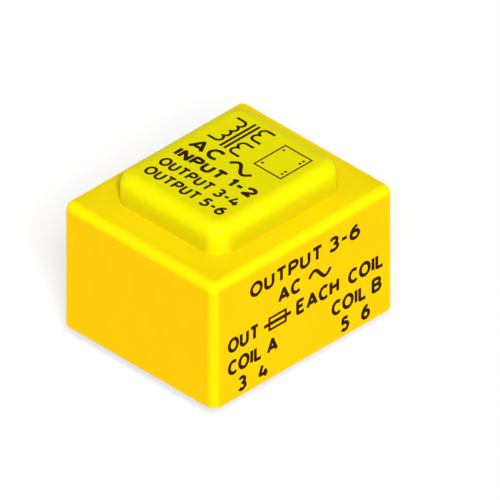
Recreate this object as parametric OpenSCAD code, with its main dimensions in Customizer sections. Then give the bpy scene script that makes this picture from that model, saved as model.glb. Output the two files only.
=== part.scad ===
// Encapsulated mains transformer for printed circuit boards: an EI core with a two-chamber coil,
// potted in a moulded case that is open underneath.
// Millimetres, +Z up. The origin is the centre of the pin pattern, on the plane of the case's rim,
// which sits on the board. X runs along the long sides, and the secondary pins are on the -Y side.

/* [Core] */
// Width of a side leg and of a yoke, from which the E and I sheets follow
side_leg_w = 7; // [6:0.5:8]
// Number of sheets in the stack
sheet_count = 28; // [20:1:36]
// Thickness of one sheet
sheet_t = 0.5; // [0.35:0.05:0.65]
// Insulating film between two sheets
sheet_gap = 0.03; // [0.02:0.01:0.05]
// Air gap where an I sheet butts against the legs of its E sheet
butt_gap = 0.05; // [0.02:0.01:0.1]
// Diameter of the punched hole in each corner of the core
corner_hole_d = 3.5; // [2:0.1:4]

/* [Coil former] */
// Height of the former's lowest edge over the board
former_stand = 2; // [1.8:0.1:3]
// Clearance between the centre leg and the tube of the former
leg_gap = 0.15; // [0.1:0.05:0.3]
// Wall of the tube
tube_wall = 0.8; // [0.6:0.1:1]
// Outer corner radius of the tube
tube_corner_r = 0.6; // [0.4:0.1:1]
// Thickness of the end flanges and of the divider between the chambers
flange_t = 0.9; // [0.6:0.1:1.2]
// Corner radius of the flanges
flange_corner_r = 3; // [2:0.5:4]
// Depth of the winding chambers above and below the core
chamber_depth = 5.6; // [5.3:0.1:6]
// Width of the primary's chamber, which leaves the rest to the secondaries
primary_chamber_w = 9.3; // [8:0.1:10]
// Clearance between the flanges and the side legs
window_gap = 0.5; // [0.3:0.1:0.8]
// Clearance between the former's ends and the yokes
yoke_gap = 0.2; // [0.1:0.05:0.3]
// Clearance between the pin rails and the core
rail_gap = 0.25; // [0.1:0.05:0.5]
// Material of a rail around its outer pins
rail_cover = 1.6; // [1.2:0.1:2]
// Material of a rail over the pins' roots
rail_roof = 0.8; // [0.6:0.1:1.2]
// Corner radius of the rails
rail_corner_r = 0.8; // [0.4:0.1:1.2]

/* [Windings] */
// Depth of the primary winding
primary_depth = 4.9; // [4.2:0.1:5]
// Depth of each of the two secondary windings, one over the other
secondary_depth = 2.3; // [1.9:0.1:2.4]
// Thickness of each tape wrap
tape_t = 0.15; // [0.1:0.05:0.2]
// Diameter of the wire ends that lead out to the pins
lead_d = 0.4; // [0.3:0.05:0.5]
// Clearance around the wire ends
lead_gap = 0.05; // [0.04:0.01:0.1]
// Spacing of the wire ends where they leave the coil
lead_pitch = 2.1; // [1.8:0.1:2.2]
// Length of wire end counted into the winding
lead_grip = 0.6; // [0.4:0.1:1]

/* [Pins] */
// Grid of the pins along a row
pin_pitch = 5; // [4.5:0.1:5.5]
// Distance between the two rows
row_span = 27.5; // [26:0.5:29]
// Diameter of the pins
pin_d = 1; // [0.8:0.1:1.2]
// Length of the pins under the case's rim
pin_length = 4; // [3:0.1:5]
// Chamfer at the pins' tips
pin_chamfer = 0.25; // [0.1:0.05:0.35]
// Step from the pins to their thicker roots, which are pressed into the rails
root_step = 0.2; // [0.2:0.05:0.3]
// Width of a solder joint round a root, at the rail
solder_w = 0.7; // [0.5:0.1:0.9]
// Width of a solder joint round a root, at its lower end
solder_neck = 0.15; // [0.1:0.05:0.3]
// Resin under the solder joints
solder_cover = 0.3; // [0.2:0.05:0.4]

/* [Case] */
// Wall of the case at its sides
wall = 0.8; // [0.7:0.1:1.2]
// Clearance between the core and the case
core_gap = 0.2; // [0.15:0.05:0.4]
// Radius of the case's upright and upper edges
edge_r = 1.8; // [1.5:0.1:2.2]
// Radius of the edges inside the case
cavity_r = 0.4; // [0.3:0.05:0.5]
// Wall of the case over the core and the coil
roof_t = 0.9; // [0.8:0.1:1.2]
// Resin between the core and the case's shoulder
core_cover = 1.45; // [1:0.05:2]
// Resin between the coil former and the raised panel
coil_cover = 0.65; // [0.4:0.05:0.9]
// Depth of the resin's face inside the rim
resin_recess = 0.6; // [0.4:0.1:0.8]

/* [Raised panel] */
// Clearance between the upper edges of the flanges and the panel, along X
panel_gap_x = 0.6; // [0.3:0.05:1]
// Clearance between the ends of the coil former and the panel, along Y
panel_gap_y = 1.45; // [0.5:0.05:2]
// Slope of the panel's sides from the upright, in degrees
panel_draft = 1; // [0.5:0.5:4]
// Radius of the panel's upper edge
panel_fillet = 2.7; // [2:0.05:3.2]
// Least rise of the panel's sides under that radius
panel_rise_min = 0.3; // [0.2:0.05:0.5]
// Corner radius of the panel's flat top
panel_flat_r = 1; // [0.5:0.05:1.5]

/* [Hidden] */
$fn = 48;

case_yellow = [0.98, 0.82, 0.02];
resin_grey = [0.16, 0.16, 0.17];
former_cream = [0.90, 0.87, 0.78];
sheet_steel = [0.42, 0.44, 0.47];
enamel_copper = [0.72, 0.36, 0.16];
tape_amber = [0.93, 0.72, 0.20];
pin_tin = [0.80, 0.80, 0.82];
solder_grey = [0.66, 0.67, 0.69];

// the core, whose windows are as wide as a side leg and three times as long
core_x = 6 * side_leg_w;
core_y = 5 * side_leg_w;
leg_w = 2 * side_leg_w;
window_l = 3 * side_leg_w;
sheet_pitch = sheet_t + sheet_gap;
stack_h = sheet_count * sheet_pitch - sheet_gap;
hole_x = core_x / 2 - side_leg_w / 2;
hole_y = core_y / 2 - side_leg_w / 2;

// the coil former, round the centre leg
tube_x = leg_w / 2 + leg_gap + tube_wall;
tube_z = stack_h / 2 + leg_gap + tube_wall;
flange_x = leg_w / 2 + side_leg_w - window_gap;
flange_z = tube_z + chamber_depth;
former_y = window_l / 2 - yoke_gap;
primary_near = former_y - flange_t - primary_chamber_w;
secondary_near = primary_near - flange_t;
chamber_end = former_y - flange_t;
winding_margin = lead_d + 2 * lead_gap;

// heights over the board
coil_z = former_stand + flange_z;
core_bottom = coil_z - stack_h / 2;
core_top = coil_z + stack_h / 2;
coil_top = coil_z + flange_z;
shoulder_z = core_top + core_cover + roof_t;
top_z = coil_top + coil_cover + roof_t;
rail_top = core_bottom - rail_gap;

// the pins: each one's place along its row, in steps of the grid, and the side its row is on
pins = [[-3, 1], [3, 1], [-3, -1], [-2, -1], [2, -1], [3, -1]];
outer_pin_x = max([for (place = pins) place[0]]) * pin_pitch;
root_r = pin_d / 2 + root_step;
lead_r = lead_d / 2;
lead_z = former_stand - lead_gap - lead_r;
solder_h = former_stand - resin_recess - solder_cover;

function pin_at(i) = [pins[i][0] * pin_pitch, pins[i][1] * row_span / 2];
function lead_at(i) = [pins[i][0] * lead_pitch, pins[i][1] * (chamber_end - winding_margin / 2)];

// the middle of the coil that each pin's wire end comes from: the primary, then the two secondaries
function lead_depth(i) = i < 2 ? primary_depth / 2
                       : i < 4 ? secondary_depth / 2
                       : secondary_depth * 3 / 2 + tape_t;

// the case follows the core, and its raised panel the coil
case_x = core_x + 2 * (core_gap + wall);
case_y = core_y + 2 * (core_gap + wall);
cavity_x = core_x + 2 * core_gap;
cavity_y = core_y + 2 * core_gap;

// the run from the panel's foot to its flat top, for an upper edge of radius r
function panel_run(r) = r * cos(panel_draft) + (panel_h - r * (1 - sin(panel_draft))) * tan(panel_draft);

panel_h = top_z - shoulder_z;
panel_r = min(panel_fillet, panel_h - panel_rise_min);
recess_r = panel_r - roof_t;

// the axes of the panel's corners, which its recess shares, to a hundredth of a millimetre
function hundredth(v) = round(100 * v) / 100;

recess_reach = panel_flat_r + sqrt(recess_r ^ 2 - (recess_r - coil_cover) ^ 2);
panel_axis_x = hundredth(flange_x + panel_gap_x - recess_reach);
panel_axis_y = hundredth(former_y + panel_gap_y - recess_reach);

module quarter_disc(r) {
    intersection() {
        circle(r);
        square(r);
    }
}

module rounded_rect(half_x, half_y, r) {
    square([2 * half_x, 2 * (half_y - r)], center = true);
    square([2 * (half_x - r), 2 * half_y], center = true);
    for (turn = [0 : 3])
        translate([(turn % 3 == 0 ? 1 : -1) * (half_x - r), (turn < 2 ? 1 : -1) * (half_y - r)])
            rotate(90 * turn)
                quarter_disc(r);
}

// A block whose sides follow a profile: the profile is drawn from the axis of a corner outwards,
// swept along the four sides and turned about the corners' axes, which lie at +-x and +-y.
module swept_block(x, y, h) {
    translate([-x, -y, 0])
        cube([2 * x, 2 * y, h]);
    for (turn = [0 : 3]) {
        side = turn % 2 == 0 ? [x, 2 * y] : [y, 2 * x];
        rotate(90 * turn)
            translate([side[0], 0, 0])
                rotate([90, 0, 0])
                    linear_extrude(side[1], center = true)
                        children();
        translate([(turn % 3 == 0 ? 1 : -1) * x, (turn < 2 ? 1 : -1) * y, 0])
            rotate(90 * turn)
                rotate_extrude(angle = 90)
                    children();
    }
}

module box_profile(h, r) {
    square([r, h - r]);
    translate([0, h - r])
        quarter_disc(r);
}

module panel_profile(r) {
    run = panel_run(r);
    axis = [panel_flat_r, panel_h - r];
    touch = r * [cos(panel_draft), sin(panel_draft)];
    polygon([[0, 0], [panel_flat_r + run, 0], axis + touch, [axis[0], panel_h], [0, panel_h]]);
    translate(axis)
        intersection() {
            circle(r);
            polygon([[0, 0], 2 * touch, [2 * r, 2 * r], [0, 2 * r]]);
        }
}

module box_block(x, y, h, r) {
    swept_block(x / 2 - r, y / 2 - r, h)
        box_profile(h, r);
}

module panel_block(r) {
    swept_block(panel_axis_x, panel_axis_y, panel_h)
        panel_profile(r);
}

// the space inside the case, from the height z up
module cavity(z) {
    ceiling_z = shoulder_z - roof_t;
    translate([0, 0, z])
        box_block(cavity_x, cavity_y, ceiling_z - z, cavity_r);
    translate([0, 0, ceiling_z])
        panel_block(recess_r);
}

module case() {
    color(case_yellow)
        difference() {
            union() {
                box_block(case_x, case_y, shoulder_z, edge_r);
                translate([0, 0, shoulder_z])
                    panel_block(panel_r);
            }
            cavity(-wall);
        }
}

// an outline in the XZ plane, centred on the coil's axis, drawn out along Y
module along_coil(y_from, y_to) {
    translate([0, y_to, coil_z])
        rotate([90, 0, 0])
            linear_extrude(y_to - y_from)
                children();
}

module coil_outline(depth) {
    rounded_rect(tube_x + depth, tube_z + depth, tube_corner_r + depth);
}

module flange_outline() {
    rounded_rect(flange_x, flange_z, flange_corner_r);
}

module in_primary_chamber() {
    along_coil(primary_near + winding_margin, chamber_end - winding_margin)
        children();
}

module in_secondary_chamber() {
    along_coil(-chamber_end + winding_margin, secondary_near - winding_margin)
        children();
}

module layer(depth_from, depth_to) {
    difference() {
        coil_outline(depth_to);
        coil_outline(depth_from);
    }
}

module flanges() {
    for (y = [-former_y, secondary_near, chamber_end])
        along_coil(y, y + flange_t)
            flange_outline();
}

module rail(side) {
    rail_y = row_span / 2 + rail_cover;
    translate([0, side * (former_y - flange_t / 2 + rail_y) / 2, former_stand])
        linear_extrude(rail_top - former_stand)
            rounded_rect(outer_pin_x + rail_cover, (rail_y - former_y + flange_t / 2) / 2, rail_corner_r);
}

module coil_former() {
    color(former_cream)
        difference() {
            union() {
                along_coil(-former_y, former_y)
                    coil_outline(0);
                flanges();
                rail(1);
                rail(-1);
            }
            along_coil(-window_l / 2, window_l / 2)
                square([2 * (tube_x - tube_wall), 2 * (tube_z - tube_wall)], center = true);
            for (i = [0 : len(pins) - 1])
                pin_root(i);
        }
}

module corner_holes(sides) {
    for (x = [-hole_x, hole_x], side = sides)
        translate([x, side * hole_y])
            circle(d = corner_hole_d);
}

// an E sheet, with its yoke on the -Y side
module e_outline() {
    difference() {
        translate([-core_x / 2, -core_y / 2])
            square([core_x, core_y - side_leg_w]);
        for (side = [-1, 1])
            translate([side * (leg_w + side_leg_w) / 2, 0])
                square([side_leg_w, window_l + 2 * butt_gap], center = true);
        translate([-core_x / 2 - side_leg_w, window_l / 2])
            square([core_x + 2 * side_leg_w, side_leg_w]);
        corner_holes([-1]);
    }
}

// the I sheet that closes it
module i_outline() {
    difference() {
        translate([-core_x / 2, core_y / 2 - side_leg_w + butt_gap])
            square([core_x, side_leg_w - butt_gap]);
        corner_holes([1]);
    }
}

// the sheets lie alternately one way and the other
module sheet_stack() {
    for (n = [0 : sheet_count - 1])
        translate([0, 0, core_bottom + n * sheet_pitch])
            rotate(n % 2 == 0 ? 0 : 180)
                linear_extrude(sheet_t)
                    children();
}

module e_laminations() {
    color(sheet_steel)
        sheet_stack()
            e_outline();
}

module i_laminations() {
    color(sheet_steel)
        sheet_stack()
            i_outline();
}

module wire_end(i) {
    from = lead_at(i);
    run = pin_at(i) - from;
    leave_z = coil_z - tube_z - lead_depth(i);
    grip = winding_margin / 2 + lead_grip;
    bend_r = lead_r + lead_gap / 2;
    translate([from[0], from[1], leave_z]) {
        sphere(bend_r);
        rotate([pins[i][1] * 90, 0, 0])
            cylinder(r = lead_r, h = grip);
    }
    translate([from[0], from[1], lead_z]) {
        sphere(bend_r);
        cylinder(r = lead_r, h = leave_z - lead_z);
        rotate([0, 90, atan2(run[1], run[0])])
            cylinder(r = lead_r, h = norm(run) - root_r - lead_gap);
    }
}

module wire_ends(first = 0, last = len(pins) - 1) {
    for (i = [first : last])
        wire_end(i);
}

module primary_winding() {
    color(enamel_copper) {
        in_primary_chamber()
            layer(0, primary_depth);
        wire_ends(0, 1);
    }
}

module primary_tape() {
    color(tape_amber)
        in_primary_chamber()
            layer(primary_depth, primary_depth + tape_t);
}

module secondary_winding_1() {
    color(enamel_copper) {
        in_secondary_chamber()
            layer(0, secondary_depth);
        wire_ends(2, 3);
    }
}

module secondary_inner_tape() {
    color(tape_amber)
        in_secondary_chamber()
            layer(secondary_depth, secondary_depth + tape_t);
}

module secondary_winding_2() {
    start = secondary_depth + tape_t;
    color(enamel_copper) {
        in_secondary_chamber()
            layer(start, start + secondary_depth);
        wire_ends(4, 5);
    }
}

module secondary_outer_tape() {
    start = 2 * secondary_depth + tape_t;
    color(tape_amber)
        in_secondary_chamber()
            layer(start, start + tape_t);
}

module pin_root(i) {
    translate([pin_at(i)[0], pin_at(i)[1], resin_recess])
        cylinder(r = root_r, h = rail_top - rail_roof - resin_recess);
}

module pin(i) {
    tip_r = pin_d / 2 - pin_chamfer;
    color(pin_tin) {
        pin_root(i);
        translate([pin_at(i)[0], pin_at(i)[1], -pin_length]) {
            cylinder(r1 = tip_r, r2 = pin_d / 2, h = pin_chamfer);
            translate([0, 0, pin_chamfer])
                cylinder(d = pin_d, h = pin_length + resin_recess - pin_chamfer);
        }
    }
}

module solder_cone(i) {
    translate([pin_at(i)[0], pin_at(i)[1], former_stand - solder_h])
        cylinder(r1 = root_r + solder_neck, r2 = root_r + solder_w, h = solder_h);
}

module solder_joint(i) {
    color(solder_grey)
        difference() {
            solder_cone(i);
            pin_root(i);
            wire_ends();
        }
}

// the resin fills the case round the core and the coil, and the core's corner holes
module potting_resin() {
    color(resin_grey)
        difference() {
            cavity(resin_recess);
            difference() {
                translate([-core_x / 2, -core_y / 2, core_bottom])
                    cube([core_x, core_y, stack_h]);
                translate([0, 0, core_bottom])
                    linear_extrude(stack_h)
                        corner_holes([-1, 1]);
            }
            along_coil(-former_y, former_y)
                coil_outline(0);
            flanges();
            in_primary_chamber()
                coil_outline(primary_depth + tape_t);
            in_secondary_chamber()
                coil_outline(2 * (secondary_depth + tape_t));
            rail(1);
            rail(-1);
            for (i = [0 : len(pins) - 1]) {
                pin_root(i);
                solder_cone(i);
            }
            wire_ends();
        }
}

case();
potting_resin();
coil_former();
e_laminations();
i_laminations();
primary_winding();
primary_tape();
secondary_winding_1();
secondary_inner_tape();
secondary_winding_2();
secondary_outer_tape();
pin(0);  // primary_pin_1
pin(1);  // primary_pin_2
pin(2);  // secondary_pin_1
pin(3);  // secondary_pin_2
pin(4);  // secondary_pin_3
pin(5);  // secondary_pin_4
solder_joint(0);  // primary_joint_1
solder_joint(1);  // primary_joint_2
solder_joint(2);  // secondary_joint_1
solder_joint(3);  // secondary_joint_2
solder_joint(4);  // secondary_joint_3
solder_joint(5);  // secondary_joint_4
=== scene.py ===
import math

import bmesh
import bpy
from mathutils import Matrix, Vector


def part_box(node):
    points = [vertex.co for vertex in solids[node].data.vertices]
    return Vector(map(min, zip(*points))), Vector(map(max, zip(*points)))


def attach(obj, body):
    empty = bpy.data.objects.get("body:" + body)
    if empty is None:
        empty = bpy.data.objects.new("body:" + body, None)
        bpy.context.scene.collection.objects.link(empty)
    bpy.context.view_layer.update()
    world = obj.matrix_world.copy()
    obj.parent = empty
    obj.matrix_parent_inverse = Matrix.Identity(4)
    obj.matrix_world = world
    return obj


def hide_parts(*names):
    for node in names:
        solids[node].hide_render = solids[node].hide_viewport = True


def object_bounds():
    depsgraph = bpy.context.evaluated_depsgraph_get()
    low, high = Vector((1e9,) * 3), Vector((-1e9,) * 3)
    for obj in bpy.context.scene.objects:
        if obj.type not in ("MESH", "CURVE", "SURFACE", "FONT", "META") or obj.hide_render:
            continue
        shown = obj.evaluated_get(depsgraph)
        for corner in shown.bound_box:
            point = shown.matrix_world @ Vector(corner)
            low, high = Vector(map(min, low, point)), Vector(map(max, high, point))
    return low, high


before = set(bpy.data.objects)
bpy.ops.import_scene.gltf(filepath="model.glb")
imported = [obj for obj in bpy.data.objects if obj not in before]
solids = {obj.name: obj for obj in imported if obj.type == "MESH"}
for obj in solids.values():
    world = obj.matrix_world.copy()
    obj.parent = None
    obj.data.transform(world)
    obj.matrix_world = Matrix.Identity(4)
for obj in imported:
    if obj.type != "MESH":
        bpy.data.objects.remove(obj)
cad_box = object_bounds()


# The coil former: a two-chamber bobbin with pin rails, which everything else is built on.
# It is glass-filled nylon in natural cream, injection moulded, with a dull skin and faint fibre flecks.
mm = 0.001
former_cream = (0.72, 0.66, 0.50, 1)
former_fleck = (0.80, 0.76, 0.64, 1)


def add_node(tree, kind, sockets=None, **settings):
    """Adds a shader node. An output given for a socket is linked to it, and any other value is set on it."""
    node = tree.nodes.new("ShaderNode" + kind)
    for name, value in settings.items():
        setattr(node, name, value)
    for name, value in (sockets or {}).items():
        if isinstance(value, bpy.types.NodeSocket):
            tree.links.new(value, node.inputs[name])
        else:
            node.inputs[name].default_value = value
    return node


def calculate(tree, operation, *values):
    """One step of arithmetic on values that change over the surface."""
    return add_node(tree, "Math", dict(enumerate(values)), operation=operation).outputs[0]


def ramp(tree, value, start, end):
    """Zero while the value is short of the start, one once it is past the end, and even between them."""
    return add_node(tree, "MapRange", {"Value": value, "From Min": start, "From Max": end}).outputs[0]


def mix_colours(tree, share, first, second):
    """The first colour where the share is 0, and the second where it is 1.

    A Mix node takes its two colours at inputs 6 and 7, and gives the mixture at output 2.
    """
    return add_node(tree, "Mix", {0: share, 6: first, 7: second}, data_type="RGBA").outputs[2]


def start_group(name, inputs, outputs):
    """An empty node group with named sockets, and the two ends that its nodes are linked to."""
    group = bpy.data.node_groups.new(name, "ShaderNodeTree")
    for socket, (kind, value) in inputs.items():
        entry = group.interface.new_socket(socket, in_out="INPUT", socket_type="NodeSocket" + kind)
        entry.default_value = value
    for socket, kind in outputs.items():
        group.interface.new_socket(socket, in_out="OUTPUT", socket_type="NodeSocket" + kind)
    return group, group.nodes.new("NodeGroupInput").outputs, group.nodes.new("NodeGroupOutput").inputs


def surface_noise(tree, size, detail, stretch=(1, 1, 1)):
    """Noise fixed to the piece, of the given size in metres, and drawn out where the stretch is small."""
    place = add_node(tree, "TexCoord").outputs["Object"]
    drawn = add_node(tree, "VectorMath", {0: place, 1: stretch}, operation="MULTIPLY").outputs[0]
    scale = calculate(tree, "DIVIDE", 1, size)
    return add_node(tree, "TexNoise", {"Vector": drawn, "Scale": scale, "Detail": detail}).outputs[0]


def colour_drift_group():
    """Soft patches of a second colour over the first."""
    group, given, wanted = start_group(
        "colour drift",
        {"Colour": ("Color", (1, 1, 1, 1)), "Patch colour": ("Color", (1, 1, 1, 1)),
         "Patch size": ("Float", 5 * mm), "Share": ("Float", 0.5)},
        {"Colour": "Color"})
    patches = ramp(group, surface_noise(group, given["Patch size"], detail=3), start=0.35, end=0.65)
    share = calculate(group, "MULTIPLY", patches, given["Share"])
    group.links.new(mix_colours(group, share, given["Colour"], given["Patch colour"]), wanted["Colour"])
    return group


def uneven_gloss_group():
    """A roughness that wanders about a middle value."""
    group, given, wanted = start_group(
        "uneven gloss",
        {"Middle": ("Float", 0.4), "Spread": ("Float", 0.05), "Patch size": ("Float", 2 * mm)},
        {"Roughness": "Float"})
    swing = calculate(group, "SUBTRACT", surface_noise(group, given["Patch size"], detail=4), 0.5)
    wander = calculate(group, "MULTIPLY", swing, calculate(group, "MULTIPLY", given["Spread"], 2))
    group.links.new(calculate(group, "ADD", given["Middle"], wander), wanted["Roughness"])
    return group


def fine_grain_group():
    """The small relief that a moulding takes from the mould, or a casting from its mix."""
    group, given, wanted = start_group(
        "fine grain", {"Grain size": ("Float", 0.1 * mm)}, {"Height": "Float"})
    group.links.new(surface_noise(group, given["Grain size"], detail=2), wanted["Height"])
    return group


colour_drift = colour_drift_group()
uneven_gloss = uneven_gloss_group()
fine_grain = fine_grain_group()


def add_effect(tree, group, **sockets):
    """Places a node group in a material with its own values, and returns its outputs."""
    node = tree.nodes.new("ShaderNodeGroup")
    node.node_tree = group
    for name, value in sockets.items():
        node.inputs[name.replace("_", " ")].default_value = value
    return node.outputs


def start_material(name, **constants):
    """A material with its shader, on which the values that are the same all over are set."""
    material = bpy.data.materials.new(name)
    material.use_nodes = True
    shader = material.node_tree.nodes["Principled BSDF"]
    for socket, value in constants.items():
        shader.inputs[socket.replace("_", " ")].default_value = value
    return material, material.node_tree, shader


def finish_surface(tree, shader, colour, roughness, height, relief):
    """Links a surface's colour, roughness and relief, whose depth is in metres, to its shader."""
    bump = add_node(tree, "Bump", {"Height": height, "Distance": relief, "Strength": 1})
    tree.links.new(colour, shader.inputs["Base Color"])
    tree.links.new(roughness, shader.inputs["Roughness"])
    tree.links.new(bump.outputs["Normal"], shader.inputs["Normal"])


def dress(material, *names):
    """Gives solids of the frame their material."""
    for name in names:
        for slot in solids[name].material_slots:
            slot.material = material


def former_nylon():
    material, tree, shader = start_material("former nylon", Specular_IOR_Level=0.35)
    colour = add_effect(tree, colour_drift, Colour=former_cream, Patch_colour=former_fleck,
                        Patch_size=0.5 * mm, Share=0.6)["Colour"]
    gloss = add_effect(tree, uneven_gloss, Middle=0.52, Spread=0.1, Patch_size=1 * mm)["Roughness"]
    grain = add_effect(tree, fine_grain, Grain_size=0.15 * mm)["Height"]
    finish_surface(tree, shader, colour, gloss, grain, relief=0.01 * mm)
    return material


dress(former_nylon(), "coil_former")


# The six terminal pins: round brass wire with thicker roots, pressed into the former's two rails.
# They are tin-plated for soldering, bright but not polished, with fine lines along the drawn wire.
tin_bright = (0.74, 0.74, 0.75, 1)
tin_dull = (0.60, 0.60, 0.61, 1)
pin_names = [name for name in solids if "_pin_" in name]


def streaks_group():
    """Fine lines along the direction whose stretch is small, as drawing and rolling leave them."""
    group, given, wanted = start_group(
        "streaks",
        {"Spacing": ("Float", 0.1 * mm), "Stretch": ("Vector", (1, 1, 1))},
        {"Height": "Float"})
    lines = surface_noise(group, given["Spacing"], detail=2, stretch=given["Stretch"])
    group.links.new(lines, wanted["Height"])
    return group


streaks = streaks_group()


def tinned_wire():
    material, tree, shader = start_material("tinned wire", Metallic=1)
    colour = add_effect(tree, colour_drift, Colour=tin_bright, Patch_colour=tin_dull,
                        Patch_size=0.6 * mm, Share=0.7)["Colour"]
    gloss = add_effect(tree, uneven_gloss, Middle=0.3, Spread=0.12, Patch_size=0.4 * mm)["Roughness"]
    lines = add_effect(tree, streaks, Spacing=0.05 * mm, Stretch=(1, 1, 0.05))["Height"]
    finish_surface(tree, shader, colour, gloss, lines, relief=0.004 * mm)
    return material


dress(tinned_wire(), *pin_names)


# The three windings: enamelled copper wire, wound turn beside turn in the former's chambers.
# The mains coil is many turns of thin wire, and the two low-voltage coils are fewer turns of thick wire.
thin_wire_d = 0.16 * mm
thick_wire_d = 0.5 * mm
enamel_red = (0.52, 0.15, 0.035, 1)
enamel_amber = (0.66, 0.27, 0.07, 1)
# Painted shade: the dark colour painted in the grooves between turns.
groove_painted_shade = (0.10, 0.025, 0.01, 1)


def parts_of(tree, coordinates):
    """The X, Y and Z of a point's place on its piece (Object), or of the way its surface faces (Normal)."""
    return add_node(tree, "SeparateXYZ", {0: add_node(tree, "TexCoord").outputs[coordinates]}).outputs


def wound_turns_group():
    """Turns of wire side by side along the coil's axis: round on top, with a groove between two turns."""
    group, given, wanted = start_group(
        "wound turns", {"Pitch": ("Float", 0.5 * mm)}, {"Height": "Float"})
    along = parts_of(group, "Object")["Y"]
    turn = calculate(group, "FRACT", calculate(group, "DIVIDE", along, given["Pitch"]))
    off_centre = calculate(group, "SUBTRACT", calculate(group, "MULTIPLY", turn, 2), 1)
    fall = calculate(group, "SUBTRACT", 1, calculate(group, "MULTIPLY", off_centre, off_centre))
    group.links.new(calculate(group, "SQRT", fall), wanted["Height"])
    return group


wound_turns = wound_turns_group()


def enamelled_wire(name, wire_d):
    material, tree, shader = start_material(name, Metallic=0.75, Coat_Weight=0.5, Coat_Roughness=0.15)
    enamel = add_effect(tree, colour_drift, Colour=enamel_red, Patch_colour=enamel_amber,
                        Patch_size=3 * mm, Share=0.6)["Colour"]
    turns = add_effect(tree, wound_turns, Pitch=wire_d)["Height"]
    # Painted shade: the grooves between turns are painted dark brown.
    out_of_groove = ramp(tree, turns, start=0.1, end=0.7)
    colour = mix_colours(tree, out_of_groove, groove_painted_shade, enamel)
    gloss = add_effect(tree, uneven_gloss, Middle=0.34, Spread=0.06, Patch_size=0.5 * mm)["Roughness"]
    finish_surface(tree, shader, colour, gloss, turns, relief=wire_d / 2)
    return material


dress(enamelled_wire("thin enamelled wire", thin_wire_d), "primary_winding")
dress(enamelled_wire("thick enamelled wire", thick_wire_d), "secondary_winding_1", "secondary_winding_2")


# The tape wraps: polyester film with a thin adhesive, wound over each coil while it is on the machine.
# The film is amber and glossy, and lies in faint creases over the turns.
film_amber = (0.74, 0.42, 0.05, 1)
film_pale = (0.84, 0.55, 0.12, 1)


def polyester_film():
    material, tree, shader = start_material("polyester film", Coat_Weight=0.3, Coat_Roughness=0.1)
    colour = add_effect(tree, colour_drift, Colour=film_amber, Patch_colour=film_pale,
                        Patch_size=2.5 * mm, Share=0.7)["Colour"]
    gloss = add_effect(tree, uneven_gloss, Middle=0.28, Spread=0.08, Patch_size=1.5 * mm)["Roughness"]
    creases = add_effect(tree, streaks, Spacing=0.6 * mm, Stretch=(0.15, 1, 0.15))["Height"]
    finish_surface(tree, shader, colour, gloss, creases, relief=0.03 * mm)
    return material


dress(polyester_film(), "primary_tape", "secondary_inner_tape", "secondary_outer_tape")


# The solder joints: each wire end is led to the root of its pin and dipped.
# Soft solder sets grey and slightly frosted, with a rippled skin.
solder_bright = (0.62, 0.63, 0.65, 1)
solder_frost = (0.44, 0.45, 0.47, 1)
joint_names = [name for name in solids if "_joint_" in name]


def soft_solder():
    material, tree, shader = start_material("soft solder", Metallic=1)
    colour = add_effect(tree, colour_drift, Colour=solder_bright, Patch_colour=solder_frost,
                        Patch_size=0.4 * mm, Share=0.8)["Colour"]
    gloss = add_effect(tree, uneven_gloss, Middle=0.36, Spread=0.12, Patch_size=0.3 * mm)["Roughness"]
    ripples = add_effect(tree, fine_grain, Grain_size=0.25 * mm)["Height"]
    finish_surface(tree, shader, colour, gloss, ripples, relief=0.02 * mm)
    return material


dress(soft_solder(), *joint_names)


# The core: E and I sheets of silicon steel, punched from rolled strip and slid into the coil alternately.
# The faces keep the mill's blue-grey film with rolling lines along X, and the punched edges are bare.
film_blue = (0.20, 0.22, 0.25, 1)
film_grey = (0.30, 0.31, 0.33, 1)
bare_steel = (0.52, 0.52, 0.53, 1)


def silicon_steel():
    material, tree, shader = start_material("silicon steel", Metallic=0.9)
    film = add_effect(tree, colour_drift, Colour=film_blue, Patch_colour=film_grey,
                      Patch_size=6 * mm, Share=0.9)["Colour"]
    level = calculate(tree, "ABSOLUTE", parts_of(tree, "Normal")["Z"])
    punched = calculate(tree, "LESS_THAN", level, 0.5)
    colour = mix_colours(tree, punched, film, bare_steel)
    gloss = add_effect(tree, uneven_gloss, Middle=0.42, Spread=0.1, Patch_size=2 * mm)["Roughness"]
    rolling = add_effect(tree, streaks, Spacing=0.12 * mm, Stretch=(0.02, 1, 1))["Height"]
    finish_surface(tree, shader, colour, gloss, rolling, relief=0.005 * mm)
    return material


dress(silicon_steel(), "e_laminations", "i_laminations")


# The case: one moulding of yellow thermoplastic, a box open underneath with a raised panel over the coil.
# All its upper edges are well rounded, the skin is satin, and only the rim on the board is nearly sharp.
# Its faces lie inside the solid's by the thickness of the ink, so that the print ends on the solid's box.
case_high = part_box("case")[1]
ink_t = 0.012 * mm
case_half = (case_high.x - ink_t, case_high.y - ink_t)
panel_top = case_high.z - ink_t
shoulder_z = 25.71 * mm
edge_r = 1.8 * mm
wall = 0.8 * mm
roof = 0.9 * mm
rim_r = 0.1 * mm
cavity_r = 0.4 * mm
panel_axis = (11.72 * mm, 9.37 * mm)
panel_draft = math.radians(1)
panel_flat_r = 1.0 * mm
panel_edge_r = 2.7 * mm
recess_edge_r = panel_edge_r - roof
quadrants = ((1, 1), (-1, 1), (-1, -1), (1, -1))
corner_steps = 10
edge_steps = 10
hold = 0.05 * mm
weld_reach = 0.0005 * mm
sharp_over = math.radians(35)
case_yellow = (0.965, 0.592, 0.002, 1)
case_deep = (0.945, 0.563, 0.002, 1)
# Painted light: the paler lemon painted on the box's faces that look upwards.
case_top_painted_light = (0.790, 0.605, 0.002, 1)
# Painted highlight: the paler colour painted halfway round the box's rounded edges.
case_edge_highlight = (0.960, 0.675, 0.002, 1)
panel_lemon = (0.740, 0.670, 0.002, 1)
panel_lemon_deep = (0.715, 0.645, 0.002, 1)
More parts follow.
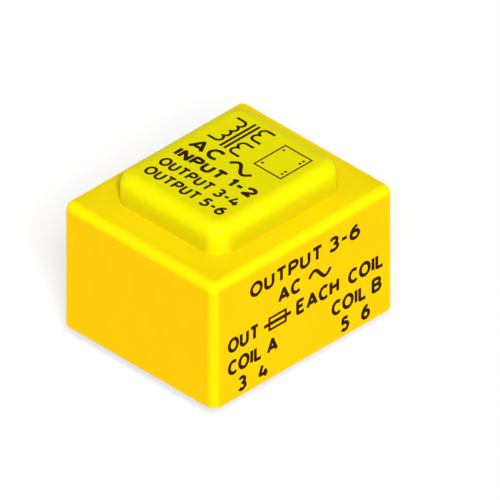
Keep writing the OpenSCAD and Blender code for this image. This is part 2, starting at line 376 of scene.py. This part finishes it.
# Painted highlight: the paler colour painted halfway round the panel's rounded edge.
panel_edge_highlight = (0.720, 0.676, 0.002, 1)
# Painted shade: the darker colour of the panel's walls near their foot.
panel_wall_painted_shade = (0.640, 0.565, 0.002, 1)
panel_start = 0.02 * mm
wall_fade = 1.5 * mm
# Painted shade: the colour that the shoulder and the walls darken towards at the panel's foot, its share and
# how far it reaches.
painted_foot_shade = (0.500, 0.360, 0.003, 1)
foot_shade_share = 0.3
foot_shade_reach = 3.0 * mm


def outline(half, corner_r, inset, z):
    """A level ring of points round a rectangle with rounded corners, drawn in by the inset.

    A point close to each end of a side holds that side flat. No corner's radius falls below zero.
    """
    radius = max(corner_r - inset, 0)
    points = []
    for turn, (side_x, side_y) in enumerate(quadrants):
        centre = Vector((side_x * (half[0] - inset - radius), side_y * (half[1] - inset - radius), z))
        angles = [math.radians(90 * (turn + step / corner_steps)) for step in range(corner_steps + 1)]
        bend = [centre + radius * Vector((math.cos(a), math.sin(a), 0)) for a in angles]
        onto, onward = [Vector((-math.sin(a), math.cos(a), 0)) for a in (angles[0], angles[-1])]
        points += [bend[0] - hold * onto, *bend, bend[-1] + hold * onward]
    return points


def rounded_edge(radius, start=0.0):
    """How far a rounded edge's points lie in from its side and back from its end, beginning on the side."""
    for step in range(edge_steps + 1):
        angle = start + (math.pi / 2 - start) * step / edge_steps
        yield radius * (1 - math.cos(angle)), radius * (1 - math.sin(angle))


def box_rings(half, edge, low, high):
    """The upright walls of a box and its rounded upper edge."""
    walls = [outline(half, edge, 0, z) for z in (low, high - edge - hold)]
    return walls + [outline(half, edge, inset, high - drop) for inset, drop in rounded_edge(edge)]


def panel_run(edge, rise):
    """How far a wall of the raised panel and its rounded upper edge lean in over their whole rise."""
    straight = rise - edge * (1 - math.sin(panel_draft))
    return edge * math.cos(panel_draft) + straight * math.tan(panel_draft)


def panel_rings(edge, low, high):
    """The drafted walls of the raised panel and its rounded upper edge, drawn about its corners' axes."""
    run = panel_run(edge, high - low)
    corner_r = panel_flat_r + run
    half = (panel_axis[0] + corner_r, panel_axis[1] + corner_r)
    touch = high - edge * (1 - math.sin(panel_draft))
    rings = []
    for z in (low, low + hold, touch - hold):
        rings.append(outline(half, corner_r, (z - low) * math.tan(panel_draft), z))
    for inset, drop in rounded_edge(edge, panel_draft):
        rings.append(outline(half, corner_r, run - edge + inset, high - drop))
    rings.append(outline(half, corner_r, run + hold, high))
    return rings


def skin_over(mesh, rings):
    """Joins each ring to the next with quads, and closes the first and the last."""
    loops = [[mesh.verts.new(point) for point in ring] for ring in rings]
    for lower, upper in zip(loops, loops[1:]):
        for i in range(len(lower)):
            mesh.faces.new((lower[i - 1], lower[i], upper[i], upper[i - 1]))
    mesh.faces.new(loops[0])
    mesh.faces.new(loops[-1])


def put_in_scene(name, data):
    """A new object in the scene, made of the given mesh, curve, light or camera."""
    thing = bpy.data.objects.new(name, data)
    bpy.context.scene.collection.objects.link(thing)
    return thing


def finish_mesh(mesh, name):
    """Welds a mesh, shades it smooth between its sharp edges, and makes it a piece that rides."""
    bmesh.ops.remove_doubles(mesh, verts=mesh.verts, dist=weld_reach)
    bmesh.ops.dissolve_degenerate(mesh, edges=mesh.edges, dist=weld_reach)
    bmesh.ops.recalc_face_normals(mesh, faces=mesh.faces)
    for face in mesh.faces:
        face.smooth = True
    for edge in mesh.edges:
        edge.smooth = len(edge.link_faces) == 2 and edge.calc_face_angle() < sharp_over
    data = bpy.data.meshes.new(name)
    mesh.to_mesh(data)
    mesh.free()
    piece = put_in_scene(name, data)
    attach(piece, "root")
    return piece


def moulded_case():
    cavity_half = (case_half[0] - wall, case_half[1] - wall)
    ceiling = shoulder_z - roof
    inside = box_rings(cavity_half, cavity_r, rim_r, ceiling)
    inside += panel_rings(recess_edge_r, ceiling, panel_top - roof)
    inner_rim = [outline(cavity_half, cavity_r, -inset, rise) for inset, rise in rounded_edge(rim_r)]
    outer_rim = [outline(case_half, edge_r, inset, rise) for inset, rise in rounded_edge(rim_r)]
    outside = box_rings(case_half, edge_r, rim_r + hold, shoulder_z)
    outside += panel_rings(panel_edge_r, shoulder_z, panel_top)
    mesh = bmesh.new()
    skin_over(mesh, inside[::-1] + inner_rim + outer_rim[::-1] + outside)
    return finish_mesh(mesh, "moulded_case")


def length_of(tree, first, second):
    """The long side of a triangle with these two sides at a right angle."""
    squares = [calculate(tree, "MULTIPLY", side, side) for side in (first, second)]
    return calculate(tree, "SQRT", calculate(tree, "ADD", *squares))


def roundness(tree):
    """Zero on the flat faces, and one halfway round an edge, where the surface faces between two of them."""
    facing = parts_of(tree, "Normal")
    upper = calculate(tree, "MULTIPLY", facing["Z"], length_of(tree, facing["X"], facing["Y"]))
    upright = calculate(tree, "MULTIPLY", facing["X"], facing["Y"])
    bends = [calculate(tree, "ABSOLUTE", bend) for bend in (upper, upright)]
    return calculate(tree, "MULTIPLY", calculate(tree, "MAXIMUM", *bends), 2)


def distance_from_foot(tree, place, rise):
    """How far a point is from the foot of the raised panel's walls, up the wall or out on the shoulder."""
    foot_r = panel_flat_r + panel_run(panel_edge_r, panel_top - shoulder_z)
    past_axis = []
    for way, axis in zip("XY", panel_axis):
        off_axis = calculate(tree, "SUBTRACT", calculate(tree, "ABSOLUTE", place[way]), axis)
        past_axis.append(calculate(tree, "MAXIMUM", off_axis, 0))
    past_foot = calculate(tree, "SUBTRACT", length_of(tree, *past_axis), foot_r)
    return length_of(tree, calculate(tree, "MAXIMUM", past_foot, 0), rise)


def yellow_moulding():
    material, tree, shader = start_material("yellow moulding", Specular_IOR_Level=0.03)
    place = parts_of(tree, "Object")
    rise = calculate(tree, "SUBTRACT", place["Z"], shoulder_z)
    # Painted highlight: halfway round each rounded edge the colour turns paler, standing in for the light
    # along the edges.
    painted_edge_highlight = ramp(tree, roundness(tree), start=0.2, end=0.75)

    box_colour = add_effect(tree, colour_drift, Colour=case_yellow, Patch_colour=case_deep,
                            Patch_size=7 * mm, Share=0.6)["Colour"]
    # Painted light: faces that look upwards turn a paler lemon, standing in for the light falling on the
    # top.
    painted_top_light = ramp(tree, parts_of(tree, "Normal")["Z"], start=0.6, end=0.95)
    box_colour = mix_colours(tree, painted_top_light, box_colour, case_top_painted_light)
    box_colour = mix_colours(tree, painted_edge_highlight, box_colour, case_edge_highlight)

    panel_colour = add_effect(tree, colour_drift, Colour=panel_lemon, Patch_colour=panel_lemon_deep,
                              Patch_size=7 * mm, Share=0.6)["Colour"]
    # Painted shade: the panel's walls are darker towards their foot and turn to the panel's own lemon higher
    # up.
    up_the_wall = ramp(tree, rise, start=wall_fade, end=panel_top - shoulder_z - wall_fade)
    panel_colour = mix_colours(tree, up_the_wall, panel_wall_painted_shade, panel_colour)
    panel_colour = mix_colours(tree, painted_edge_highlight, panel_colour, panel_edge_highlight)

    on_panel = calculate(tree, "GREATER_THAN", rise, panel_start)
    colour = mix_colours(tree, on_panel, box_colour, panel_colour)
    # Painted shade: the shoulder and the walls darken towards the panel's foot, where shade falls in the
    # corner.
    near_foot = ramp(tree, distance_from_foot(tree, place, rise), start=foot_shade_reach, end=0)
    foot_shade = calculate(tree, "MULTIPLY", near_foot, foot_shade_share)
    colour = mix_colours(tree, foot_shade, colour, painted_foot_shade)
    gloss = add_effect(tree, uneven_gloss, Middle=0.45, Spread=0.08, Patch_size=1.5 * mm)["Roughness"]
    grain = add_effect(tree, fine_grain, Grain_size=0.12 * mm)["Height"]
    finish_surface(tree, shader, colour, gloss, grain, relief=0.004 * mm)
    return material


case = moulded_case()
case.data.materials.append(yellow_moulding())
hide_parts("case")


# The potting resin: filled epoxy, poured into the upturned case round the core and coil until it is full.
# It sets dark grey and half-gloss, with small pinholes, and has crept up the rim and pins while liquid.
resin_low, resin_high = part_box("potting_resin")
resin_face = resin_low.z
skin_t = 0.03 * mm
creep = 0.32 * mm
creep_reach = 0.35 * mm
pin_r = 0.5 * mm
swell = 0.02 * mm
swell_along = 4.1 * mm
swell_across = 3.3 * mm
swell_skew = 9 * mm
close_step = 0.09 * mm
wide_step = 0.8 * mm
close_zone = 1.2 * mm
step_growth = 0.5
pinhole_gap = 1.6 * mm
resin_grey = (0.022, 0.022, 0.025, 1)
resin_filler = (0.045, 0.044, 0.045, 1)


def pin_axis(name):
    """The place of a pin's axis, seen from above."""
    low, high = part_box(name)
    return Vector(((low.x + high.x) / 2, (low.y + high.y) / 2))


def grid_lines(half, centres):
    """Places of grid lines from -half to half: close at both ends and near the centres, and wide between."""
    lines = [-half]
    while lines[-1] < half:
        nearest = min(abs(lines[-1] - spot) for spot in [-half, half, *centres])
        lines.append(lines[-1] + min(wide_step, close_step + step_growth * max(nearest - close_zone, 0)))
    return [*lines[:-1], half]


def resin_skin():
    half_x, half_y = resin_high.x, resin_high.y
    axes = [pin_axis(name) for name in pin_names]
    columns = grid_lines(half_x, [axis.x for axis in axes])
    rows = grid_lines(half_y, [axis.y for axis in axes])

    def surface(x, y):
        to_wall = min(half_x - abs(x), half_y - abs(y))
        to_pin = min((Vector((x, y)) - axis).length for axis in axes) - pin_r
        climb = sum(creep * math.exp(-max(gap, 0) / creep_reach) for gap in (to_wall, to_pin))
        uneven = swell * math.sin(x / swell_along) * math.cos(y / swell_across + x / swell_skew)
        return resin_face - skin_t - swell + uneven - min(climb, creep)

    mesh = bmesh.new()
    grid = [[mesh.verts.new((x, y, surface(x, y))) for y in rows] for x in columns]
    for i in range(len(columns) - 1):
        for j in range(len(rows) - 1):
            mesh.faces.new((grid[i][j], grid[i][j + 1], grid[i + 1][j + 1], grid[i + 1][j]))
    border = [edge for edge in mesh.edges if edge.is_boundary]
    raised = bmesh.ops.extrude_edge_only(mesh, edges=border)["geom"]
    for vertex in raised:
        if isinstance(vertex, bmesh.types.BMVert):
            vertex.co.z = resin_face + skin_t
    bmesh.ops.edgeloop_fill(mesh, edges=[edge for edge in mesh.edges if edge.is_boundary])
    return finish_mesh(mesh, "resin_skin")


def filled_epoxy():
    material, tree, shader = start_material("filled epoxy", Specular_IOR_Level=0.45)
    colour = add_effect(tree, colour_drift, Colour=resin_grey, Patch_colour=resin_filler,
                        Patch_size=1.2 * mm, Share=0.7)["Colour"]
    gloss = add_effect(tree, uneven_gloss, Middle=0.36, Spread=0.12, Patch_size=2.5 * mm)["Roughness"]
    place = add_node(tree, "TexCoord").outputs["Object"]
    cells = add_node(tree, "TexVoronoi", {"Vector": place, "Scale": 1 / pinhole_gap}).outputs["Distance"]
    pinholes = ramp(tree, cells, start=0.04, end=0.1)
    grain = add_effect(tree, fine_grain, Grain_size=0.3 * mm)["Height"]
    faint_grain = calculate(tree, "MULTIPLY", grain, 0.25)
    height = calculate(tree, "ADD", pinholes, faint_grain)
    finish_surface(tree, shader, colour, gloss, height, relief=0.05 * mm)
    return material


epoxy = filled_epoxy()
dress(epoxy, "potting_resin")
skin = resin_skin()
skin.data.materials.append(epoxy)


# The print: terminal numbers, plain words and circuit signs in one dark ink, on the panel and a long side.
# It is stamped on with a soft pad after potting, as a film a hundredth of a millimetre thick.
# Gaps and bends of the lettering are shares of a capital's height.
fine_stroke = 0.56 * mm
bold_stroke = 0.74 * mm
side_stroke = 0.72 * mm
plan_stroke = 0.46 * mm
letter_gap = 0.32
word_gap = 0.66
bend_reach = 0.10
bend_steps = 4
straight_over = math.radians(150)
arc_step = 15
wave_steps = 24
dot_r = 0.05 * mm
panel_print_start = (-11.7 * mm, 9.5 * mm)
panel_row_length = 19.0 * mm
side_caps = 3.2 * mm
number_low = 0.9 * mm
half_number = 1.2 * mm
ink_black = (0.018, 0.008, 0.001, 1)
ink_worn = (0.040, 0.018, 0.002, 1)


def lines_of(paths, stroke):
    """A line drawing in strokes of one width, each path a list of points and whether it closes."""
    curve = bpy.data.curves.new("lines", "CURVE")
    curve.dimensions = "3D"
    curve.bevel_depth = stroke / 2
    curve.bevel_resolution = 2
    curve.use_fill_caps = True
    for points, closed in paths:
        path = curve.splines.new("POLY")
        path.points.add(len(points) - 1)
        for spot, (across, upward) in zip(path.points, points):
            spot.co = (across, upward, 0, 1)
        path.use_cyclic_u = closed
    drawing = put_in_scene("drawing", curve)
    mesh = bpy.data.meshes.new_from_object(drawing.evaluated_get(bpy.context.evaluated_depsgraph_get()))
    bpy.data.objects.remove(drawing)
    for vertex in mesh.vertices:
        vertex.co.z *= 2 * ink_t / stroke
    return mesh


def arc(centre, radii, start, end):
    """Points of an arc or of part of an ellipse, with its angles in degrees."""
    steps = round(abs(end - start) / arc_step)
    angles = [math.radians(start + (end - start) * step / steps) for step in range(steps + 1)]
    return [(centre[0] + radii[0] * math.cos(a), centre[1] + radii[1] * math.sin(a)) for a in angles]


def ring(centre, radii):
    """A closed path round a whole ellipse."""
    return arc(centre, radii, 0, 360 - arc_step), True


def line(*points):
    """An open path from point to point, which takes each sharp turn in a small bend."""
    points = [Vector(point) for point in points]
    bent = [points[0]]
    for before, corner, after in zip(points, points[1:], points[2:]):
        back, onward = before - corner, after - corner
        if back.angle(onward) > straight_over:
            bent.append(corner)
            continue
        start, end = corner + bend_reach * back.normalized(), corner + bend_reach * onward.normalized()
        for share in [step / bend_steps for step in range(bend_steps + 1)]:
            bent.append(start.lerp(corner, share).lerp(corner.lerp(end, share), share))
    return [tuple(point) for point in [*bent, points[-1]]], False


# strokes of each character, in a box one unit high
characters = {
    "1": [line((0.00, 0.74), (0.24, 1.00), (0.24, 0.00))],
    "2": [line(*arc((0.30, 0.70), (0.30, 0.30), 165, -38), (0.00, 0.00), (0.62, 0.00))],
    "3": [line(*arc((0.28, 0.76), (0.27, 0.24), 150, -90),
               *arc((0.28, 0.26), (0.31, 0.26), 90, -150)[1:])],
    "4": [line((0.26, 1.00), (0.00, 0.27), (0.76, 0.27)), line((0.54, 0.60), (0.54, 0.00))],
    "5": [line((0.55, 1.00), (0.10, 1.00), *arc((0.27, 0.31), (0.31, 0.31), 132, -148))],
    "6": [line(*arc((0.58, 0.36), (0.58, 0.64), 98, 180),
               *arc((0.30, 0.31), (0.30, 0.31), 180, 530)[1:])],
    "A": [line((0.00, 0.00), (0.37, 1.00), (0.74, 0.00)), line((0.10, 0.27), (0.64, 0.27))],
    "B": [line((0.00, 0.52), (0.34, 0.52), *arc((0.34, 0.76), (0.24, 0.24), -75, 90), (0.00, 1.00),
               (0.00, 0.00), (0.34, 0.00), *arc((0.34, 0.26), (0.28, 0.26), -75, 90))],
    "C": [line(*arc((0.37, 0.50), (0.37, 0.50), 50, 310))],
    "E": [line((0.52, 1.00), (0.00, 1.00), (0.00, 0.00), (0.54, 0.00)),
          line((0.00, 0.52), (0.44, 0.52))],
    "H": [line((0.00, 0.00), (0.00, 1.00)), line((0.58, 0.00), (0.58, 1.00)),
          line((0.00, 0.52), (0.58, 0.52))],
    "I": [line((0.00, 0.00), (0.00, 1.00))],
    "L": [line((0.00, 1.00), (0.00, 0.00), (0.50, 0.00))],
    "N": [line((0.00, 0.00), (0.00, 1.00), (0.60, 0.00), (0.60, 1.00))],
    "O": [ring((0.38, 0.50), (0.38, 0.50))],
    "P": [line((0.00, 0.00), (0.00, 1.00), (0.30, 1.00),
               *arc((0.30, 0.73), (0.28, 0.27), 75, -90), (0.00, 0.46))],
    "T": [line((0.00, 1.00), (0.64, 1.00)), line((0.32, 1.00), (0.32, 0.00))],
    "U": [line((0.00, 1.00), *arc((0.29, 0.30), (0.29, 0.30), 180, 360), (0.58, 1.00))],
    "-": [line((0.00, 0.48), (0.38, 0.48))],
}


def row_of_words(words, left, low, length, cap_height, stroke):
    """One row of words from its lower left corner, spread to its length, or evenly drawn if it has none."""
    paths = []
    across = 0
    for character in words:
        if character == " ":
            across += word_gap - letter_gap
            continue
        strokes = characters[character]
        paths += [([(across + x, y) for x, y in points], closed) for points, closed in strokes]
        across += max(x for points, closed in strokes for x, y in points) + letter_gap
    rise = cap_height - stroke
    spread = (length - stroke) / (across - letter_gap) if length else rise
    start, foot = left + stroke / 2, low + stroke / 2
    placed = []
    for points, closed in paths:
        placed.append(([(start + spread * x, foot + rise * y) for x, y in points], closed))
    return lines_of(placed, stroke)


def coil_path(across, start, count, turn_r, lead):
    """A coil in a circuit sign: half turns one above the other, and a lead at each end.

    The turns bulge away from the leads, which go to the left where the lead is less than zero.
    """
    side = -math.copysign(1, lead)
    path = [(across + lead, start)]
    for turn in range(count):
        path += arc((across, start + (2 * turn + 1) * turn_r), (side * turn_r, turn_r), -90, 90)
    path.append((across + lead, start + 2 * count * turn_r))
    return path, False


def winding_sign(left, low):
    """Circuit sign of the windings: one coil, a core of two lines, and two coils across from it."""
    height = 8.8 * mm
    turn_r = 0.9 * mm
    lead = 1.7 * mm
    core_half = 0.5 * mm
    coil_off = 2.5 * mm
    mains_turns = 4
    low_voltage_turns = 2
    middle = left + 4.7 * mm
    paths = []
    for across in (middle - core_half, middle + core_half):
        paths.append(([(across, low), (across, low + height)], False))
    mains_start = low + height / 2 - mains_turns * turn_r
    paths.append(coil_path(middle - coil_off, mains_start, mains_turns, turn_r, -lead))
    for start in (low, low + height - 2 * low_voltage_turns * turn_r):
        paths.append(coil_path(middle + coil_off, start, low_voltage_turns, turn_r, lead))
    return lines_of(paths, fine_stroke)


def box_path(left, low, width, height):
    """A closed path round a box, from its lower left corner."""
    return [(left, low), (left + width, low), (left + width, low + height), (left, low + height)], True


def pin_plan(left, low, width):
    """A small plan of the case with a dot for each pin, as seen from above."""
    shrink = width / (2 * case_half[1])
    paths = [box_path(left, low, width, 2 * case_half[0] * shrink)]
    for name in pin_names:
        axis = pin_axis(name)
        spot = (left + shrink * (case_half[1] - axis.y), low + shrink * (case_half[0] + axis.x))
        paths.append(ring(spot, (dot_r, dot_r)))
    return lines_of(paths, plan_stroke)


def wave_sign(left, middle, width, height):
    """One full wave, the sign for alternating current."""
    shares = [step / wave_steps for step in range(wave_steps + 1)]
    wave = [(left + width * s, middle + height * math.sin(2 * math.pi * s)) for s in shares]
    return lines_of([(wave, False)], side_stroke)


def fuse_sign(left, low, width, height):
    """A long box on a line, the sign for a fuse."""
    middle = low + height / 2
    lead = 0.2 * width
    body = box_path(left + lead, low, width - 2 * lead, height)
    return lines_of([body, ([(left, middle), (left + width, middle)], False)], side_stroke)


def printed(name, drawings, origin, reading, upward):
    """Puts drawings on a face of the case, whose reading and upward directions are given, as one piece."""
    onto_face = Matrix((reading, upward, reading.cross(upward))).transposed().to_4x4()
    onto_face.translation = origin
    block = bmesh.new()
    for mesh in drawings:
        mesh.transform(onto_face)
        block.from_mesh(mesh)
        bpy.data.meshes.remove(mesh)
    return finish_mesh(block, name)


def panel_print():
    """Rows across the panel, which read from its back to its front. Places are from the last row's start."""
    rows = [
        ("AC", 10.9 * mm, 7.0 * mm, 3.2 * mm, bold_stroke),
        ("INPUT 1-2", 7.3 * mm, panel_row_length, 2.8 * mm, bold_stroke),
        ("OUTPUT 3-4", 3.6 * mm, panel_row_length, 2.6 * mm, fine_stroke),
        ("OUTPUT 5-6", 0, panel_row_length, 2.6 * mm, fine_stroke),
    ]
    drawings = []
    for words, low, length, cap_height, stroke in rows:
        drawings.append(row_of_words(words, 0, low, length, cap_height, stroke))
    drawings.append(winding_sign(left=0, low=14.9 * mm))
    drawings.append(wave_sign(left=9.0 * mm, middle=12.5 * mm, width=5.4 * mm, height=1.1 * mm))
    drawings.append(pin_plan(left=12.2 * mm, low=15.3 * mm, width=6.4 * mm))
    origin = Vector((*panel_print_start, panel_top))
    return printed("panel_print", drawings, origin, Vector((0, -1, 0)), Vector((1, 0, 0)))


def side_print():
    """Rows on the long side with the low-voltage pins. Places are from the middle of the rim."""
    rows = [
        ("OUTPUT 3-6", -13.2 * mm, 19.0 * mm, 26.8 * mm, side_caps),
        ("AC", -6.4 * mm, 14.7 * mm, 5.6 * mm, 3.1 * mm),
        ("OUT", -18.6 * mm, 10.0 * mm, 7.7 * mm, side_caps),
        ("EACH  COIL", -2.0 * mm, 10.0 * mm, 21.4 * mm, side_caps),
        ("COIL A", -18.6 * mm, 5.3 * mm, 12.2 * mm, side_caps),
        ("COIL B", 6.6 * mm, 5.3 * mm, 12.2 * mm, side_caps),
    ]
    drawings = []
    for words, left, low, length, cap_height in rows:
        drawings.append(row_of_words(words, left, low, length, cap_height, side_stroke))
    low_voltage_pins = sorted(name for name in pin_names if name.startswith("secondary"))
    for number, pin in zip("3456", low_voltage_pins):
        left = pin_axis(pin).x - half_number
        drawings.append(row_of_words(number, left, number_low, None, side_caps, side_stroke))
    drawings.append(wave_sign(left=1.2 * mm, middle=16.2 * mm, width=5.2 * mm, height=1.1 * mm))
    drawings.append(fuse_sign(left=-9.8 * mm, low=10.3 * mm, width=6.6 * mm, height=2.4 * mm))
    origin = Vector((0, -case_half[1], 0))
    return printed("side_print", drawings, origin, Vector((1, 0, 0)), Vector((0, 0, 1)))


def pad_ink():
    material, tree, shader = start_material("pad ink", Specular_IOR_Level=0.01)
    colour = add_effect(tree, colour_drift, Colour=ink_black, Patch_colour=ink_worn,
                        Patch_size=0.5 * mm, Share=0.6)["Colour"]
    gloss = add_effect(tree, uneven_gloss, Middle=0.5, Spread=0.08, Patch_size=0.6 * mm)["Roughness"]
    grain = add_effect(tree, fine_grain, Grain_size=0.1 * mm)["Height"]
    finish_surface(tree, shader, colour, gloss, grain, relief=0.003 * mm)
    return material


ink = pad_ink()
for piece in (panel_print(), side_print()):
    piece.data.materials.append(ink)


# The table: a plain white sheet under the pin tips, seen from above only.
# Straight looks and reflections see it white, while the light it throws back on the object stays low.
floor_half = 3000 * mm
floor_z = cad_box[0].z
floor_white = (0.96, 0.96, 0.96, 1)
floor_bounce = (0.15, 0.15, 0.15, 1)
pure_white = (1, 1, 1, 1)
shadow_lift = 0.65


def seen_straight(tree):
    """One for camera rays, reflections and rays through clear matter, and zero for scattered light."""
    ray = add_node(tree, "LightPath").outputs
    either = calculate(tree, "MAXIMUM", ray["Is Camera Ray"], ray["Is Glossy Ray"])
    return calculate(tree, "MAXIMUM", either, ray["Is Transmission Ray"])


def white_table():
    material = bpy.data.materials.new("white table")
    material.use_nodes = True
    tree = material.node_tree
    tree.nodes.remove(tree.nodes["Principled BSDF"])
    ray = add_node(tree, "LightPath").outputs
    colour = mix_colours(tree, seen_straight(tree), floor_bounce, floor_white)
    sheet = add_node(tree, "BsdfDiffuse", {"Color": colour}).outputs[0]
    glow = add_node(tree, "Emission", {"Color": pure_white, "Strength": 1}).outputs[0]
    lift = calculate(tree, "MULTIPLY", ray["Is Camera Ray"], shadow_lift)
    lifted = add_node(tree, "MixShader", {0: lift, 1: sheet, 2: glow}).outputs[0]
    clear = add_node(tree, "BsdfTransparent").outputs[0]
    underneath = add_node(tree, "NewGeometry").outputs["Backfacing"]
    see_through = calculate(tree, "MAXIMUM", ray["Is Shadow Ray"], underneath)
    surface = add_node(tree, "MixShader", {0: see_through, 1: lifted, 2: clear}).outputs[0]
    tree.links.new(surface, tree.nodes["Material Output"].inputs["Surface"])
    return material


floor_data = bpy.data.meshes.new("table")
floor_corners = [(side_x * floor_half, side_y * floor_half, floor_z) for side_x, side_y in quadrants]
floor_data.from_pydata(floor_corners, [], [(0, 1, 2, 3)])
floor_data.materials.append(white_table())
floor = put_in_scene("table", floor_data)


# The light: a broad lamp near the camera, a low one for each of the far sides, and one under the table.
# All are wide and soft, a low even light from the room fills the rest, and the low lamps leave no glint.
room_dim = (0.06, 0.06, 0.06, 1)
lamp_width = math.radians(20)
lamps = {
    "broad lamp": ((-0.78, -0.905, 1.01), 4.91),
    "low lamp on the right": ((1, -0.15, -0.1), 2.45),
    "low lamp at the back": ((-0.15, 1, -0.1), 2.45),
    "table lamp": ((0, 0, -1), 2.2),
}
for name, (towards, strength) in lamps.items():
    light = bpy.data.lights.new(name, "SUN")
    light.energy = strength
    light.angle = lamp_width
    lamp = put_in_scene(name, light)
    lamp.rotation_euler = Vector(towards).to_track_quat("Z", "Y").to_euler()
    lamp.visible_glossy = not name.startswith("low")

room = bpy.data.worlds.new("room")
room.use_nodes = True
room_tree = room.node_tree
room_colour = mix_colours(room_tree, seen_straight(room_tree), room_dim, pure_white)
room_tree.links.new(room_colour, room_tree.nodes["Background"].inputs["Color"])
bpy.context.scene.world = room
bpy.context.scene.view_settings.view_transform = "Standard"


# The camera: a parallel view onto one upper corner, at the same angle to all three faces.
# The picture is 86 mm across, and its middle lies right of and above the middle of the rim.
picture_width = 85.98 * mm
aim_right = 3.73 * mm
aim_up = 11.18 * mm
camera_far = 400 * mm
view_back = Vector((-1, -1, 1)).normalized()
view_right = Vector((1, -1, 0)).normalized()
view_up = Vector((1, 1, 2)).normalized()
camera_data = bpy.data.cameras.new("camera")
camera_data.type = "ORTHO"
camera_data.ortho_scale = picture_width
camera_data.clip_start = 10 * mm
camera_data.clip_end = 20
camera = put_in_scene("camera", camera_data)
camera.location = aim_right * view_right + aim_up * view_up + camera_far * view_back
camera.rotation_euler = (-view_back).to_track_quat("-Z", "Y").to_euler()
bpy.context.scene.camera = camera
